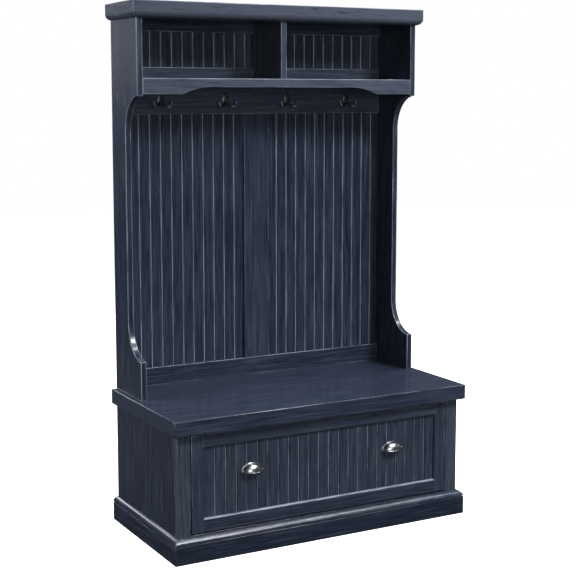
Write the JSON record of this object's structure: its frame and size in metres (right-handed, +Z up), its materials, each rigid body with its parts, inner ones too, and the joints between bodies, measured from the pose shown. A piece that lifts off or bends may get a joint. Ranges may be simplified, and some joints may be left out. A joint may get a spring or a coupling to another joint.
{
  "type": "hall tree with storage bench",
  "caption": "Hall tree with a bench over one wide drawer, a beadboard back with double coat hooks, a shelf with divided cubbies and a moulded crown.",
  "frame": {"origin": "on the floor, under the middle of the object's box", "axes": "+X to the right when facing the front, +Y from the front towards the wall, +Z up"},
  "size_m": [1.092, 0.526, 1.74],
  "materials": {
    "navy_paint": "satin paint rubbed through along the edges",
    "birch_ply": "clear matte lacquer",
    "zinc_steel": "zinc plated",
    "brushed_nickel": "satin nickel plate",
    "dark_bronze": "oil rubbed bronze"
  },
  "bodies": {
    "case": {"bench_top": "navy_paint", "base_side_left": "navy_paint", "base_side_right": "navy_paint", "base_stile_left": "navy_paint", "base_stile_right": "navy_paint", "base_sill_rail": "navy_paint", "base_bottom": "navy_paint", "base_back": "navy_paint", "base_stretcher": "navy_paint", "plinth_front": "navy_paint", "plinth_left": "navy_paint", "plinth_right": "navy_paint", "base_moulding_front": "navy_paint", "base_moulding_left": "navy_paint", "base_moulding_right": "navy_paint", "hutch_side_left": "navy_paint", "hutch_side_right": "navy_paint", "hutch_top": "navy_paint", "crown_panel": "navy_paint", "crown_moulding_front": "navy_paint", "crown_moulding_left": "navy_paint", "crown_moulding_right": "navy_paint", "shelf_apron": "navy_paint", "cubby_shelf": "navy_paint", "cubby_divider": "navy_paint", "back_bottom_rail": "navy_paint", "hook_rail": "navy_paint", "cubby_top_rail": "navy_paint", "back_centre_stile": "navy_paint", "back_panel_left": "navy_paint", "back_panel_right": "navy_paint", "cubby_back_panel": "navy_paint", "slide_cleat_left": "birch_ply", "slide_cleat_right": "birch_ply", "slide_outer_left": "zinc_steel", "slide_outer_right": "zinc_steel", "coat_hook_1": "dark_bronze", "coat_hook_2": "dark_bronze", "coat_hook_3": "dark_bronze", "coat_hook_4": "dark_bronze"},
    "drawer": {"drawer_stile_left": "navy_paint", "drawer_stile_right": "navy_paint", "drawer_rail_bottom": "navy_paint", "drawer_rail_top": "navy_paint", "drawer_panel": "navy_paint", "drawer_side_left": "birch_ply", "drawer_side_right": "birch_ply", "drawer_box_front": "birch_ply", "drawer_back": "birch_ply", "drawer_bottom": "birch_ply", "slide_inner_left": "zinc_steel", "slide_inner_right": "zinc_steel", "cup_pull_left": "brushed_nickel", "cup_pull_right": "brushed_nickel", "pull_screw_1": "zinc_steel", "pull_screw_2": "zinc_steel", "pull_screw_3": "zinc_steel", "pull_screw_4": "zinc_steel"},
    "left_slide_member": {"slide_middle_left": "zinc_steel"},
    "right_slide_member": {"slide_middle_right": "zinc_steel"}
  },
  "joints": [
    {"name": "drawer_slide", "type": "slide", "parent": "case", "child": "drawer", "axis": [0, -1, 0], "range_m": [0, 0.38]},
    {"name": "left_member_slide", "type": "slide", "parent": "case", "child": "left_slide_member", "axis": [0, -1, 0], "range_m": [0, 0.19]},
    {"name": "right_member_slide", "type": "slide", "parent": "case", "child": "right_slide_member", "axis": [0, -1, 0], "range_m": [0, 0.19]}
  ],
  "couplings": [
    {"joint": "left_member_slide", "follows": "drawer_slide", "ratio": 0.5},
    {"joint": "right_member_slide", "follows": "drawer_slide", "ratio": 0.5}
  ]
}
